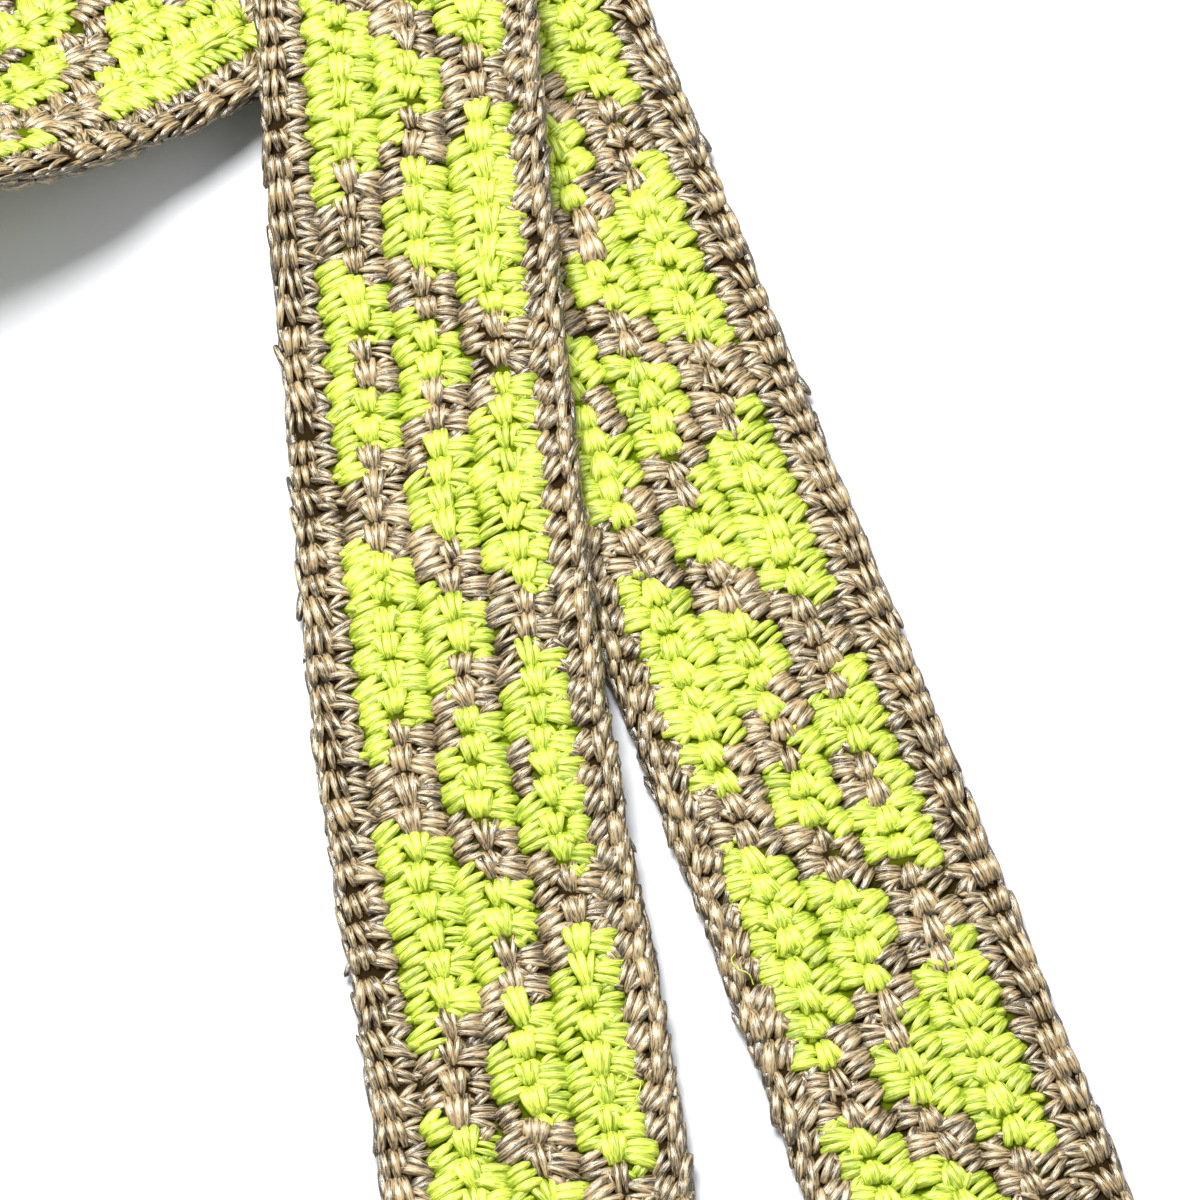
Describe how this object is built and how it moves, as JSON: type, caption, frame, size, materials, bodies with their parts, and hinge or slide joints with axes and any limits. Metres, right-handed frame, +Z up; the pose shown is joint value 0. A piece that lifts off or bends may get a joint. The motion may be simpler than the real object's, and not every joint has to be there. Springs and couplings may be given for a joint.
{
  "type": "crochet belt",
  "caption": "Long crocheted belt of two yarns with a leaf-like ribbed pattern, a barred border and a chain edge, laid in a loop with its ends crossed.",
  "frame": {"origin": "centre of the laid belt's bounding box, at the surface it rests on", "axes": "+Z up from the surface, +Y from the two free ends towards the waist loop"},
  "size_m": [0.3202, 0.45, 0.0441],
  "materials": {
    "lime_yarn": "lime green satin multifilament yarn, worked in single crochet with taupe stitches between",
    "taupe_yarn": "taupe satin multifilament yarn, crocheted"
  },
  "bodies": {
    "root": {"patterned_panel": "lime_yarn", "barred_border": "taupe_yarn", "chain_edge": "taupe_yarn"}
  },
  "joints": []
}
